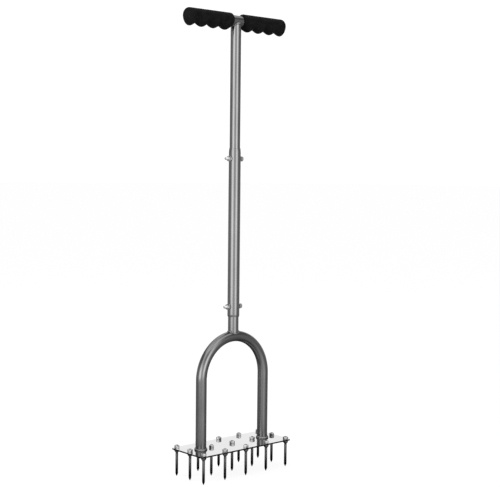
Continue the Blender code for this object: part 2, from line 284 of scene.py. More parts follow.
def bright_sheet():
    """Plated sheet: rolling grain along X, faint smears, hair scratches, and near black along the sheared
    edge: bare cut steel, darkened further as painted shade.
    """
    made, start, shader = finish_with("bright_plated_sheet", {"Metallic": 1.0})
    place = start.node("TexCoord", {}, {}, "Object")
    rolled = place.noise(260.0, 3.0, (0.03, 1.0, 1.0))
    smears = place.noise(22.0, 4.0)
    pitting = place.noise(1400.0, 1.0)
    scratched = place.noise(340.0, 1.0, (0.06, 1.6, 1.0)).between(0.70, 0.76)
    sheared_and_shaded = attribute(start, "wear", "Fac").between(0.35, 0.8)
    bright = smears.blend(grey(0.82), grey(0.90))
    bright = (rolled * 0.35).blend(bright, grey(0.74))
    # The sheared edge: bare cut steel, made near black as painted shade.
    cut = place.noise(900.0, 3.0, (1.0, 1.0, 0.2)).blend(grey(0.012), grey(0.04))
    relief = rolled * 0.4 + smears * 2.5 + pitting * 0.12 - scratched * 0.4
    feed(shader, {
        "Base Color": sheared_and_shaded.blend(bright, cut),
        "Roughness": 0.035 + smears * 0.05 + scratched * 0.12 + sheared_and_shaded * 0.3,
        "Normal": relief.bump(0.00002, 0.6),
    })
    return made


columns_x, cell_x = cells_between([stud.x for stud in studs.values()], plate_low.x, plate_high.x)
rows_y, cell_y = cells_between([stud.y for stud in studs.values()], plate_low.y, plate_high.y)
cells = []
for i, hole_x in enumerate(columns_x):
    for j, hole_y in enumerate(rows_y):
        rim = cell_rim(cell_x[i], cell_x[i + 1], cell_y[j], cell_y[j + 1])
        cells.append(punched_cell(rim, hole_x, hole_y))
plate = skin("punched_plate", cells, [bright_sheet()])
broken_edge = plate.modifiers.new("broken_edge", "BEVEL")
broken_edge.width = EDGE_BREAK
broken_edge.segments = 3
broken_edge.limit_method = "ANGLE"
broken_edge.angle_limit = BREAK_ANGLE
fit(plate, "plate_steel", "spike_plate")


# Spikes: 5.6 mm steel rod, upset to a 6 mm rolled thread at the top and ground to a point below. Each goes
# through its own hole in the plate and is clamped there between two nuts. They are dull, and darker below.
SPIKE_SIDES = 24
THREAD_PITCH = 0.001
THREAD_DEPTH = 0.0005
THREAD_STEPS = 8
SHANK_RADIUS = 0.0028
CONE_LENGTH = 0.0055
POINT_RADIUS = 0.0005
THREAD_BELOW = 0.0060
RUN_OUT = 0.0004
STUD_CHAMFER = 0.0007
STUD_THREAD = 0.0012
HAMMER_DEPTH = 0.00003
PAINTED_SHADE_LENGTH = 0.050


def straight(origin, direction):
    """A straight centre line: the place at a distance along it, and two directions across it.

    The first direction crossed with the second gives the line's own.
    """
    across = {"Z": ((1, 0, 0), (0, 1, 0)), "X": ((0, 1, 0), (0, 0, 1)), "-X": ((0, -1, 0), (0, 0, 1))}
    side, up = (np.array(way, float) for way in across[direction])
    ahead = np.cross(side, up)

    def line(station):
        """Places at distances along the line, and the two directions across it."""
        return np.array(origin, float) + station[..., None] * ahead, side, up

    return line


def wrapped(line, station, radius, turns, rise=None):
    """A shell about a centre line: each point is radius times cosine across, and rise times sine up."""
    rise = radius if rise is None else rise
    station, radius, rise, turns = np.broadcast_arrays(station, radius, rise, turns)
    centre, side, up = line(station)
    across = radius * np.cos(turns)
    upward = rise * np.sin(turns)
    points = centre + across[..., None] * side + upward[..., None] * up
    return {"points": points, "stock": np.stack([across, upward, station], axis=-1)}


def round_turns(count, first=0.0):
    """Even turns about a line, counter-clockwise."""
    return first + TURN * np.arange(count) / count


def thread_cut(station, turns, low, high):
    """Depth of a right-hand thread: a ramp up and down once a pitch and once a turn, faded at its ends."""
    phase = station / THREAD_PITCH - turns / TURN
    ramp = np.abs(2.0 * (phase - np.floor(phase)) - 1.0)
    faded = soft_step(station, low, low + THREAD_PITCH) * soft_step(-station, -high, -high + RUN_OUT)
    return THREAD_DEPTH * ramp * faded


def spike_shell(middle, tip, top, thread_end, number):
    """A spike from its chamfered top down: thread, the step to the shank, the shank, a cone to the point.

    Each ring's radius is the crest, the shank or a straight line down the cone, less the thread's cut, with
    a slight waviness. The painted shade grows from nothing to full over a length above the point.
    """
    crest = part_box(f"spike_{number:02d}")
    crest = (crest[1].x - crest[0].x) / 2.0
    shoulder = tip + CONE_LENGTH
    step = -THREAD_PITCH / THREAD_STEPS
    stud_top = np.arange(top - 0.0005, top - 0.0005 - STUD_THREAD, step)
    exposed = np.arange(thread_end + THREAD_BELOW, thread_end, step)
    shank = np.linspace(thread_end - 0.0008, shoulder + 0.0004, 12)
    cone = np.linspace(shoulder - 0.0004, tip + 0.0007, 8)
    station = np.concatenate([
        [top, top, top - 0.0002],
        stud_top,
        exposed,
        shank,
        cone,
        [tip + 0.0002, tip, tip],
    ])
    radius = np.concatenate([
        [0.0, crest - STUD_CHAMFER, crest - 0.0003],
        np.full(len(stud_top) + len(exposed), crest),
        np.full(len(shank), SHANK_RADIUS),
        SHANK_RADIUS + (POINT_RADIUS - SHANK_RADIUS) * (shoulder - cone) / CONE_LENGTH,
        [POINT_RADIUS * 0.8, POINT_RADIUS * 0.45, 0.0],
    ])
    turns = round_turns(SPIKE_SIDES)
    station, radius, turns = np.broadcast_arrays(station[:, None], radius[:, None], turns)
    cut = thread_cut(station, turns, thread_end, top)
    hammered = HAMMER_DEPTH * np.sin(station * 900.0 + 2.0 * number) * np.sin(2.0 * turns + number)
    axis = straight((middle.x, middle.y, 0.0), "Z")
    shell = wrapped(axis, station, np.maximum(radius - cut + hammered, 0.0), turns)
    shell["points"] = np.where(radius[..., None] == 0.0, shell["points"][:, :1], shell["points"])
    # Mask of painted shade: full at the point, fading out over a length above it.
    shell["wear"] = 1.0 - np.clip((station - tip) / PAINTED_SHADE_LENGTH, 0.0, 1.0) ** 1.1
    return shell


def dull_steel():
    """Rolled steel rod: a drawn grain along it, mottled scale, and painted shade that darkens it to the
    point.
    """
    made, start, shader = finish_with("dull_spike_steel", {"Metallic": 1.0})
    place = start.node("TexCoord", {}, {}, "Object")
    drawn = place.noise(1600.0, 2.0, (1.0, 1.0, 0.05))
    scale = place.noise(180.0, 4.0)
    rubbed = attribute(start, "wear", "Fac") * place.noise(700.0, 2.0).between(0.45, 0.6)
    tone = (scale * 0.7 + drawn * 0.3).between(0.3, 0.7).blend(grey(0.26), grey(0.36))
    # Painted shade: the colour darkens to near black towards the point.
    shaded_to_point = attribute(start, "wear", "Fac").between(0.0, 0.85).blend(tone, grey(0.008))
    feed(shader, {
        "Base Color": (rubbed * 0.04).blend(shaded_to_point, grey(0.34)),
        "Roughness": 0.26 + scale * 0.16 + rubbed * 0.08,
        "Normal": (drawn * 0.6 + scale).bump(0.00004, 0.5),
    })
    return made


spike_finish = dull_steel()
for number, stud in studs.items():
    node = f"spike_{number:02d}"
    spike_low, spike_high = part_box(node)
    lower_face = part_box(f"lower_nut_{number:02d}")[0].z
    shell = spike_shell(stud, spike_low.z, spike_high.z, lower_face - THREAD_BELOW, number)
    fit(skin(f"pointed_spike_{number:02d}", [shell], [spike_finish]), "spike_steel", node)


# Spike nuts: plain M6 hex nuts, 10 mm across flats, zinc plated. One above and one below the plate hold each
# spike. The outer rim of each is turned down to a cone, deeply on the lower ones, whose zinc is painted
# darker as shade.
ACROSS_FLATS = 0.010
HEX_SIDES = 60
BORE_RADIUS = 0.0031
CORNER_SOFTNESS = 0.00012
CORNER_RADIUS_OF_NUT = ACROSS_FLATS / 2.0 / math.cos(math.pi / 6.0)
SHALLOW_CONE = (0.0050, 0.0006)
FACE_CONE = (0.0047, 0.0009)
DEEP_CONE = (0.0039, 0.0030)
UPPER_TURN = 0.59
LOWER_TURN = 0.37


def hex_reach(turns, first):
    """Distance to a hexagon's side at each turn: half the flats over the cosine from the nearest flat."""
    sixth = TURN / 6.0
    from_flat = (turns - first) % sixth - sixth / 2.0
    reach = ACROSS_FLATS / 2.0 / np.cos(from_flat)
    return np.minimum(reach, CORNER_RADIUS_OF_NUT - CORNER_SOFTNESS)


def nut_shell(line, low, high, first, low_cone, high_cone):
    """A nut round a line: the lesser of the hexagon and a cone at each end, closed by an eased bore.

    A cone is its radius at the nut's face, and how far it runs along the corners.
    """
    low_rim, low_depth = low_cone
    high_rim, high_depth = high_cone
    corner = CORNER_RADIUS_OF_NUT
    share = np.linspace(0.0, 1.0, 7)
    top = high - high_depth * share
    foot = low + low_depth * share[::-1]
    station = np.concatenate([[high - 0.0004, high], top, foot, [low, low + 0.0004]])
    limit = np.concatenate([
        [BORE_RADIUS, BORE_RADIUS + 0.0005],
        high_rim + (corner - high_rim) * share,
        low_rim + (corner - low_rim) * share[::-1],
        [BORE_RADIUS + 0.0005, BORE_RADIUS],
    ])
    turns = round_turns(HEX_SIDES, first)
    reach = hex_reach(turns, first)
    radius = np.minimum(limit[:, None], reach)
    shell = wrapped(line, station[:, None], radius, turns)
    shell["closed"] = True
    on_sides = limit[:, None] > ACROSS_FLATS / 2.0
    shell["wear"] = soft_step(reach, corner * 0.93, corner * 0.975) * on_sides
    return shell


def zinc_plate(name, dark, light):
    """Zinc plating: faintly mottled, with turning marks, and dark, rougher patches on corners and rims that
    are painted dark reflections.
    """
    made, start, shader = finish_with(name, {"Metallic": 1.0})
    stock = attribute(start, "stock", "Vector")
    place = start.node("TexCoord", {}, {}, "Object")
    mottle = place.noise(420.0, 3.0)
    turned = stock.noise(2600.0, 1.0, (0.1, 0.1, 1.0))
    # Dark patches on corners and rims: painted dark reflections, also made rougher.
    painted_dark_reflections = attribute(start, "wear", "Fac") * place.noise(260.0, 1.0).between(0.50, 0.58)
    tone = (mottle * 0.75 + turned * 0.25).between(0.25, 0.75).blend(grey(dark), grey(light))
    feed(shader, {
        "Base Color": painted_dark_reflections.blend(tone, grey(0.05)),
        "Roughness": 0.13 + mottle * 0.12 + painted_dark_reflections * 0.15,
        "Normal": (mottle + turned * 0.5).bump(0.00003, 0.45),
    })
    return made


zinc = zinc_plate("bright_zinc", 0.74, 0.90)
# The lower nuts take a darker copy of the zinc: painted shade under the plate.
shaded_zinc = zinc_plate("shaded_zinc", 0.14, 0.24)
for number, stud in studs.items():
    axis = straight((stud.x, stud.y, 0.0), "Z")
    upper, lower = f"upper_nut_{number:02d}", f"lower_nut_{number:02d}"
    low, high = (corner.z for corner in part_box(upper))
    shell = nut_shell(axis, low, high, UPPER_TURN * number, SHALLOW_CONE, FACE_CONE)
    fit(skin(f"top_nut_{number:02d}", [shell], [zinc]), "zinc_hardware", upper)
    low, high = (corner.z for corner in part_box(lower))
    shell = nut_shell(axis, low, high, LOWER_TURN * number, DEEP_CONE, SHALLOW_CONE)
    fit(skin(f"bottom_nut_{number:02d}", [shell], [shaded_zinc]), "zinc_hardware", lower)


# Fork: one length of 22 mm tube bent to a half circle between two straight legs, coated silver grey. A lumpy
# bead welds each foot to the plate, and another joins the stem to the top of the arch.
TUBE_SIDES = 64
TUBE_WALL = 0.0015
RIM_ROUND = 0.0005
FORK_STEPS = 120
ARCH_SPRING = 0.200
FOOT_BEAD_REACH = 0.0030
FOOT_BEAD_RISE = 0.0045
BEAD_TURNS = 144
BEAD_ROLLS = 14
BEAD_RADIUS = 0.0021
COPE_SHORT = 0.006
LEG_FROM_PLATE_END = 0.0375
RIM_EASE = np.array([0.0015, 0.003, 0.005, 0.008, 0.012])
END_PIECE = 0.016
END_INSET = 0.0002
RUBBED_AND_SHADED_LENGTH = 0.0018
SPUN_SHARE = 0.55

fork_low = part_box("fork_tube")[0]
stem_low, stem_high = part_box("stem_tube")
TUBE_RADIUS = (stem_high.x - stem_low.x) / 2.0
LEG_OFFSET = (plate_high.x - plate_low.x) / 2.0 - LEG_FROM_PLATE_END
FOOT = fork_low.z
LEG = ARCH_SPRING - FOOT


def fork_line(station):
    """The fork's centre line from its left foot: up a leg, round a half circle, and down the other leg."""
    turn = np.clip((station - LEG) / LEG_OFFSET, 0.0, math.pi)
    left_over = np.maximum(LEG - station, 0.0) + np.maximum(station - LEG - math.pi * LEG_OFFSET, 0.0)
    level = np.zeros_like(station)
    height = ARCH_SPRING + LEG_OFFSET * np.sin(turn) - left_over
    centre = np.stack([-LEG_OFFSET * np.cos(turn), level, height], axis=-1)
    side = np.stack([np.cos(turn), level, -np.sin(turn)], axis=-1)
    return centre, side, np.array([0.0, 1.0, 0.0])


def tube_wall(low, high, outer, bore, steps, spin_low=0.0, spin_high=0.0):
    """Stations and radii round a tube's wall, closed: down the outside, across the foot, up the bore, across.

    Each outer rim is rounded, and may first be spun in over a length at that end.
    """
    arc = np.linspace(0.0, math.pi / 2.0, 5)
    round_in, round_out = RIM_ROUND * (1.0 - np.sin(arc)), RIM_ROUND * (1.0 - np.cos(arc))
    down = np.concatenate([
        high - round_in,
        high - RIM_ROUND - RIM_EASE,
        np.linspace(high - END_PIECE, low + END_PIECE, steps),
        low + RIM_ROUND + RIM_EASE[::-1],
        (low + round_in)[::-1],
    ])
    rim = np.concatenate([-round_out[::-1], np.zeros(2 * len(RIM_EASE) + steps), -round_out])
    spun = np.zeros(len(down))
    if spin_high:
        spun += (1.0 - soft_step(high - down, 0.0, spin_high)) * (outer - bore) * SPUN_SHARE
    if spin_low:
        spun += (1.0 - soft_step(down - low, 0.0, spin_low)) * (outer - bore) * SPUN_SHARE
    station = np.concatenate([down, [low + END_INSET, high - END_INSET]])
    radius = np.concatenate([outer + rim - spun, [bore, bore]])
    from_end = np.minimum(high - down, down - low)
    wear = np.concatenate([1.0 - soft_step(from_end, 0.0, RUBBED_AND_SHADED_LENGTH), [0.0, 0.0]])
    return station, radius, wear


def foot_bead(offset, seed):
    """A weld bead round a leg: a bulging quarter round from wall to plate, with laps and lumps round it."""
    turns = round_turns(BEAD_TURNS)
    slope = np.linspace(-0.15, math.pi / 2.0, 12)[:, None]
    laps = np.abs(np.sin(turns * 13.0 + seed + 0.5 * slope)) ** 0.6
    lumps = 0.5 * np.sin(3.0 * turns + 2.0 * seed) + 0.35 * np.sin(7.0 * turns + seed)
    reach = FOOT_BEAD_REACH * (0.76 + 0.13 * laps + 0.09 * lumps)
    rise = FOOT_BEAD_RISE * (0.68 + 0.15 * laps + 0.13 * lumps)
    radius = TUBE_RADIUS - 0.0003 + reach * np.clip(np.sin(slope), 0.0, 1.0) ** 0.8
    station = FOOT + rise * np.clip(np.cos(slope), 0.0, 1.0) ** 0.8
    inner = np.full((1, BEAD_TURNS), TUBE_RADIUS - TUBE_WALL)
    radius = np.concatenate([inner, radius, inner])
    station = np.concatenate([station[:1], station, np.full((1, BEAD_TURNS), FOOT)])
    shell = wrapped(straight((offset, 0.0, 0.0), "Z"), station, radius, turns)
    shell.update({"closed": True, "finish": 1, "wear": np.broadcast_to(laps[:1], radius.shape)})
    return shell


def ring_bead(height_at, seed):
    """A weld bead round the pole where it lands on a tube: a lumpy round along the line of contact.

    Its radius is the bead's, times one plus laps and two slow waves round the pole.
    """
    turns = round_turns(BEAD_TURNS)
    roll = TURN * np.arange(BEAD_ROLLS)[:, None] / BEAD_ROLLS
    laps = np.abs(np.sin(turns * 9.0 + seed)) ** 0.6
    lumps = 0.14 * np.sin(2.0 * turns + seed) + 0.09 * np.sin(5.0 * turns + 3.0 * seed)
    bead = BEAD_RADIUS * (0.80 + 0.22 * laps + lumps)
    radius = TUBE_RADIUS + bead * np.cos(roll)
    station = height_at(TUBE_RADIUS * np.cos(turns)) - bead * np.sin(roll)
    shell = wrapped(straight((0.0, 0.0, 0.0), "Z"), station, radius, turns)
    shell.update({"closed": True, "finish": 1, "wear": np.broadcast_to(laps, radius.shape)})
    return shell


def arch_contact(x):
    """Height of the stem's foot: on the arch at its two sides, and cut short of it in front and behind."""
    across = (x**4 + COPE_SHORT**4) ** 0.25
    return ARCH_SPRING + np.sqrt((LEG_OFFSET + across) ** 2 - x**2)


def silver_coat(name, dark, light):
    """Silver-grey coat on drawn tube: draw marks, cloudy tone, orange peel, flake, and dark rims: rubbed
    wear, darkened further as painted shade at the joints.
    """
    made, start, shader = finish_with(name, {"Metallic": 1.0})
    stock = attribute(start, "stock", "Vector")
    clouds = stock.noise(26.0, 3.0, (1.0, 1.0, 0.6))
    drawn = stock.noise(700.0, 2.0, (1.0, 1.0, 0.01))
    peel = stock.noise(900.0, 1.0)
    flake = stock.noise(5200.0, 0.0)
    # Rims: rubbed wear, darkened as painted shade where the tube ends meet the tubes inside.
    rubbed = attribute(start, "wear", "Fac") * stock.noise(500.0, 2.0).between(0.42, 0.58)
    scuffed = stock.noise(120.0, 4.0, (1.0, 1.0, 0.25)).between(0.66, 0.74)
    tone = (clouds * 0.5 + drawn * 0.25 + flake * 0.25).between(0.3, 0.7).blend(grey(dark), grey(light))
    tone = (scuffed * 0.35).blend(tone, grey(light * 1.25))
    feed(shader, {
        "Base Color": (rubbed * 0.6).blend(tone, grey(0.14)),
        "Roughness": 0.15 + clouds * 0.07 + scuffed * 0.1 + rubbed * 0.12,
        "Normal": (peel + drawn * 0.5).bump(0.000008, 0.4),
    })
    return made


def weld_metal():
    """Weld under a thin coat: lumps and beads of spatter, and laps whose crowns are painted lighter as a
    highlight.
    """
    made, start, shader = finish_with("coated_weld", {"Metallic": 1.0})
    place = start.node("TexCoord", {}, {}, "Object")
    lumps = place.noise(330.0, 3.0)
    beads = place.noise(1300.0, 2.0)
    # The lighter crowns of the laps are a painted highlight.
    crowns = attribute(start, "wear", "Fac").between(0.35, 0.95)
    tone = lumps.between(0.35, 0.65).blend(grey(0.14), grey(0.28))
    feed(shader, {
        "Base Color": (crowns * 0.35).blend(tone, grey(0.34)),
        "Roughness": 0.22 + lumps * 0.2 - crowns * 0.05,
        "Normal": (lumps * 3.0 + beads).bump(0.00012, 0.6),
    })
    return made


fork_coat = silver_coat("silver_coat_fork", 0.20, 0.25)
weld = weld_metal()
fork_length = 2.0 * LEG + math.pi * LEG_OFFSET
station, radius, wear = tube_wall(0.0, fork_length, TUBE_RADIUS, TUBE_RADIUS - TUBE_WALL, FORK_STEPS)
up_bore = np.linspace(station[-2], station[-1], FORK_STEPS)
station = np.concatenate([station[:-2], up_bore])
radius = np.concatenate([radius[:-2], np.full(FORK_STEPS, radius[-1])])
wear = np.concatenate([wear[:-2], np.zeros(FORK_STEPS)])
fork_wall = wrapped(fork_line, station[:, None], radius[:, None], round_turns(TUBE_SIDES))
fork_wall.update({"closed": True, "wear": wear[:, None]})
beads = [foot_bead(-LEG_OFFSET, 0.7), foot_bead(LEG_OFFSET, 2.1), ring_bead(arch_contact, 1.3)]
fit(skin("bent_fork", [fork_wall] + beads, [fork_coat, weld]), "grey_steel_tube", "fork_tube")


# Stem: a short length of the same tube. Its foot is cut to sit on the arch, and it goes 60 mm up into the
# sleeve, where a bolt holds it.
pole_coat = silver_coat("silver_coat_pole", 0.21, 0.26)


def coped_tube(low_at, high_at, steps):
    """A tube whose ends follow a height for each turn: stations shared out evenly between the two ends."""
    turns = round_turns(TUBE_SIDES)
    low, high = low_at(turns), high_at(turns)
    share = np.linspace(1.0, 0.0, steps)
    share = np.concatenate([share, share[::-1]])[:, None]
    bore = TUBE_RADIUS - TUBE_WALL
    radius = np.repeat([TUBE_RADIUS, bore], steps)[:, None]
    shell = wrapped(straight((0.0, 0.0, 0.0), "Z"), low + (high - low) * share, radius, turns)
    shell["closed"] = True
    return shell


def level_at(height):
    """The same height at every turn."""
    return lambda turns: np.full(len(turns), height)


stem_shell = coped_tube(lambda turns: arch_contact(TUBE_RADIUS * np.cos(turns)), level_at(stem_high.z), 12)
fit(skin("coped_stem", [stem_shell], [pole_coat]), "grey_steel_tube", "stem_tube")


# Sleeve: the middle length, 25 mm tube that takes the stem below and the pole above. Its ends are spun in a
# little so that they sit close on the tubes inside.
SLIDING_GAP = 0.0003
SLEEVE_BORE = TUBE_RADIUS + SLIDING_GAP
SPUN_FOOT = 0.003
SPUN_HEAD = 0.009

sleeve_low, sleeve_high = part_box("sleeve_tube")
sleeve_radius = (sleeve_high.x - sleeve_low.x) / 2.0
station, radius, wear = tube_wall(
    sleeve_low.z, sleeve_high.z, sleeve_radius, SLEEVE_BORE, 24, SPUN_FOOT, SPUN_HEAD
)
sleeve_shell = wrapped(
    straight((0.0, 0.0, 0.0), "Z"), station[:, None], radius[:, None], round_turns(TUBE_SIDES)
)
sleeve_shell.update({"closed": True, "wear": wear[:, None]})
fit(skin("sleeve", [sleeve_shell], [pole_coat]), "grey_steel_tube", "sleeve_tube")


# Upper pole: 22 mm tube from inside the sleeve up to the handle. Its top is cut to the crossbar and welded
# to it with a bead all round.
pole_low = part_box("upper_pole")[0]
bar_low, bar_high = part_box("crossbar_tube")
BAR_HEIGHT = (bar_low.z + bar_high.z) / 2.0


def bar_contact(x):
    """Height of the pole's top: on the crossbar at its two sides, and cut short of it in front and behind."""
    return BAR_HEIGHT - (x**4 + COPE_SHORT**4) ** 0.25


pole_shell = coped_tube(level_at(pole_low.z), lambda turns: bar_contact(TUBE_RADIUS * np.cos(turns)), 16)
pole_shells = [pole_shell, ring_bead(bar_contact, 4.0)]
fit(skin("upper_pole_tube", pole_shells, [pole_coat, weld]), "grey_steel_tube", "upper_pole")


# Pole bolts: M6 flanged hex bolts across the pole, one near each end of the sleeve, zinc plated. Each goes
# in from +X, and carries a washer and a nut on its far end, with a few turns of thread standing out.
FLANGE_RADIUS = 0.0066
FLANGE_THICKNESS = 0.0018
BOLT_RADIUS = 0.003
BOLT_SIDES = 48
HEAD_CHAMFER = 0.0009
WASHER_BORE = 0.0033
WASHER_EASE = 0.0002


def bolt_shell(line, seat, head, end, thread_from, first):
    """A bolt from its head to its end: a chamfered hexagon, a coned flange, a plain shank and a thread."""
    corner = CORNER_RADIUS_OF_NUT
    flange = seat + FLANGE_THICKNESS
    thread = np.arange(thread_from, end + 0.0006, -THREAD_PITCH / THREAD_STEPS)
    share = np.linspace(0.0, 1.0, 6)
    station = np.concatenate([
        [head - 0.0003, head - 0.0003, head],
        head - HEAD_CHAMFER * share,
        [flange + 0.0004, flange + 0.0002, seat + 0.0005, seat + 0.0002, seat, seat, thread_from + 0.0004],
        thread,
        [end + 0.0004, end, end],
    ])
    limit = np.concatenate([
        [0.0, 0.0030, 0.0036],
        0.0046 + (corner - 0.0046) * share,
        [corner, 0.0060, FLANGE_RADIUS - 0.0001, FLANGE_RADIUS, FLANGE_RADIUS - 0.0003],
        [BOLT_RADIUS, BOLT_RADIUS],
        np.full(len(thread), BOLT_RADIUS),
        [BOLT_RADIUS - 0.0003, BOLT_RADIUS - 0.0006, 0.0],
    ])
    turns = round_turns(BOLT_SIDES, first)
    hexed = (station > flange + 0.0003)[:, None]
    radius = np.where(hexed, np.minimum(limit[:, None], hex_reach(turns, first)), limit[:, None])
    station, turns = np.broadcast_arrays(station[:, None], turns)
    cut = thread_cut(station, turns, end + 0.0002, thread_from) * (station <= thread_from)
    shell = wrapped(line, station, np.maximum(radius - cut, 0.0), turns)
    corners = soft_step(hex_reach(turns, first), corner * 0.955, corner * 0.99)
    shell["wear"] = corners * hexed
    return shell


def washer_shell(line, near, far, outer, bore):
    """A flat washer, closed round its wall, with its punched edges eased."""
    station = np.array([far, far, far - WASHER_EASE, near + WASHER_EASE, near, near])
    radius = np.array([bore, outer - WASHER_EASE, outer, outer, outer - WASHER_EASE, bore])
    shell = wrapped(line, station[:, None], radius[:, None], round_turns(BOLT_SIDES))
    shell.update({"closed": True, "wear": (radius >= outer)[:, None] * 1.0})
    return shell


for joint, first_turn in (("upper_joint", 0.35), ("lower_joint", 0.95)):
    bolt_low, bolt_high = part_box(f"{joint}_bolt")
    across = straight((0.0, 0.0, middle_of(f"{joint}_bolt").z), "X")
    washer_low, washer_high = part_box(f"{joint}_washer")
    nut_low, nut_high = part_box(f"{joint}_nut")
    seat = -washer_high.x
    bolt = bolt_shell(across, seat, bolt_high.x, bolt_low.x, nut_low.x + 0.0008, first_turn)
    fit(skin(f"flanged_bolt_{joint}", [bolt], [zinc]), "zinc_hardware", f"{joint}_bolt")
    washer_reach = (washer_high.y - washer_low.y) / 2.0
    washer = washer_shell(across, washer_low.x, washer_high.x, washer_reach, WASHER_BORE)
    fit(skin(f"washer_{joint}", [washer], [zinc]), "zinc_hardware", f"{joint}_washer")
    nut = nut_shell(across, nut_low.x, nut_high.x, first_turn + 0.4, FACE_CONE, SHALLOW_CONE)
    fit(skin(f"nut_{joint}", [nut], [zinc]), "zinc_hardware", f"{joint}_nut")


# Crossbar: a straight length of 22 mm tube along X. Its middle shows between the two grips, and the rest
# of it is inside them.
station, radius, wear = tube_wall(bar_low.x, bar_high.x, TUBE_RADIUS, TUBE_RADIUS - TUBE_WALL, 24)
bar_shell = wrapped(
    straight((0.0, 0.0, BAR_HEIGHT), "X"), station[:, None], radius[:, None], round_turns(TUBE_SIDES)
)
bar_shell.update({"closed": True, "wear": wear[:, None]})
fit(skin("crossbar", [bar_shell], [pole_coat]), "grey_steel_tube", "crossbar_tube")


# Grips: moulded black rubber, pushed on each end of the crossbar and closed at the outer end. Each is round
# above and has four finger swells below, and a fine matt grain.
GRIP_ROWS = 260
GRIP_SIDES = 96
GRIP_RADIUS = 0.015
VALLEY_DEPTH = 0.013
FINGER_DEPTH = 0.0208
FINGER_PITCH = 0.0303
FIRST_FINGER = 0.0165
FINGER_SHARPNESS = 1.15
DOME_LENGTH = 0.0105
DOME_POWER = 2.6
INNER_ROUND = 0.004
END_WALL = 0.004
CROWN_FROM = 0.0180
MOUTH_EASE = 0.0004


def grip_shell(line, length):
    """A grip from the pole of its outer dome in to its inner face, then back down its bore to the blind end.

    Each ring is a half circle over a half ellipse. The ellipse's depth swings between valley and finger as
    the cosine of the distance over the pitch, and the dome shrinks both by a rounded power curve.
    """
    share = np.linspace(0.0, 1.0, GRIP_ROWS)
    along = length * (0.5 + 0.5 * np.cos(math.pi * share))
    dome = np.clip(1.0 - (length - along) / DOME_LENGTH, 0.0, 1.0)
    inner = np.clip(1.0 - along / INNER_ROUND, 0.0, 1.0)
    shrink = (1.0 - dome**DOME_POWER) ** (1.0 / DOME_POWER)
    shrink = shrink - (1.0 - np.sqrt(1.0 - inner**2)) * INNER_ROUND / GRIP_RADIUS
    wave = np.abs(np.cos(math.pi * (along - FIRST_FINGER) / FINGER_PITCH)) ** FINGER_SHARPNESS
    depth = VALLEY_DEPTH + (FINGER_DEPTH - VALLEY_DEPTH) * wave
    bore = TUBE_RADIUS + SLIDING_GAP
    blind = length - END_WALL
    down_bore = [bore + MOUTH_EASE, bore, bore, 0.0]
    station = np.concatenate([along, [0.0, 0.0005, blind, blind]])[:, None]
    radius = np.concatenate([GRIP_RADIUS * shrink, down_bore])[:, None]
    lower = np.concatenate([depth * shrink, down_bore])[:, None]
    crowns = np.concatenate([soft_step(depth, CROWN_FROM, FINGER_DEPTH), np.zeros(len(down_bore))])
    turns = round_turns(GRIP_SIDES)
    under = np.sin(turns) < 0.0
    shell = wrapped(line, station, radius, turns, np.where(under, lower, radius))
    shell["wear"] = np.where(under, crowns[:, None], 0.0)
    return shell


def black_rubber():
    """Moulded rubber: a pebbled skin, faint cloudy bloom, and a slight polish on the crowns of the swells."""
    made, start, shader = finish_with("black_rubber", {"Specular IOR Level": 0.05})
    place = start.node("TexCoord", {}, {}, "Object")
    bloom = place.noise(60.0, 4.0)
    pebble = place.noise(1100.0, 2.0)
    lumps = place.noise(240.0, 2.0)
    polished = attribute(start, "wear", "Fac") * lumps.between(0.3, 0.6)
    tone = (bloom * 0.6 + lumps * 0.4).between(0.35, 0.7).blend(grey(0.0028), grey(0.0062))
    feed(shader, {
        "Base Color": (polished * 0.4).blend(tone, grey(0.008)),
        "Roughness": 0.52 + bloom * 0.16 - polished * 0.12,
        "Normal": (pebble + lumps * 1.2).bump(0.00025, 0.5),
    })
    return made


rubber = black_rubber()
for side, way, hand in (("left", "-X", -1.0), ("right", "X", 1.0)):
    grip_low, grip_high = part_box(f"{side}_grip")
    grip_inner, grip_outer = sorted((abs(grip_low.x), abs(grip_high.x)))
    line = straight((hand * grip_inner, 0.0, BAR_HEIGHT), way)
    grip = grip_shell(line, grip_outer - grip_inner)
    fit(skin(f"{side}_rubber_grip", [grip], [rubber], 50.0), "grip_rubber", f"{side}_grip")


# Studio: the tool stands on its spikes on a pale floor that runs off to white, under three soft lights. The
# bright metal mirrors a surround of its own: tall pale bands either side of the camera and dark ones beyond,
# fixed to compass bearings, and a floor that reflections show as a painted glow with a painted shadow near
# the tool.
CAMERA_PLACE = Vector((-1.4789, -1.7173, 0.6193))
CAMERA_TURN = math.radians(41.57)
CAMERA_DIP = math.radians(3.60)
CAMERA_ROLL = math.radians(-0.578)
FOCAL_LENGTH = 79.2
ROUND_THE_STUDIO = (
    (-180, 1.0), (-156, 1.0), (-140, 0.50), (-112, 0.45), (-84, 0.50), (-64, 0.75), (-52, 1.90),
    (-40, 2.70),
    (-22, 2.50), (-10, 1.30), (4, 1.05), (18, 1.20), (29, 2.20), (40, 2.80), (51, 2.20), (64, 0.90),
    (80, 0.42), (112, 0.40), (140, 0.50), (156, 1.0), (180, 1.0),
)
ROUND_THE_FLOOR = (
    (-180, 0.10), (-113, 0.30), (-84, 0.38), (-60, 0.46), (-39, 0.60), (-19, 0.72), (0, 0.78),
    (19, 0.85),
    (39, 0.98), (60, 0.70), (84, 0.33), (113, 0.30), (180, 0.10),
)
BRIGHTEST = 3.0
SECOND_LOOK = 0.45
OVERHEAD = 1.6
PLAIN_WHITE = 1.08
FLOOR_REACH = 60.0
FLOOR_TURN = ((-1, -1), (1, -1), (1, 1), (-1, 1))
PAPER_SHARE = 0.9
AIM_HEIGHT = 0.45

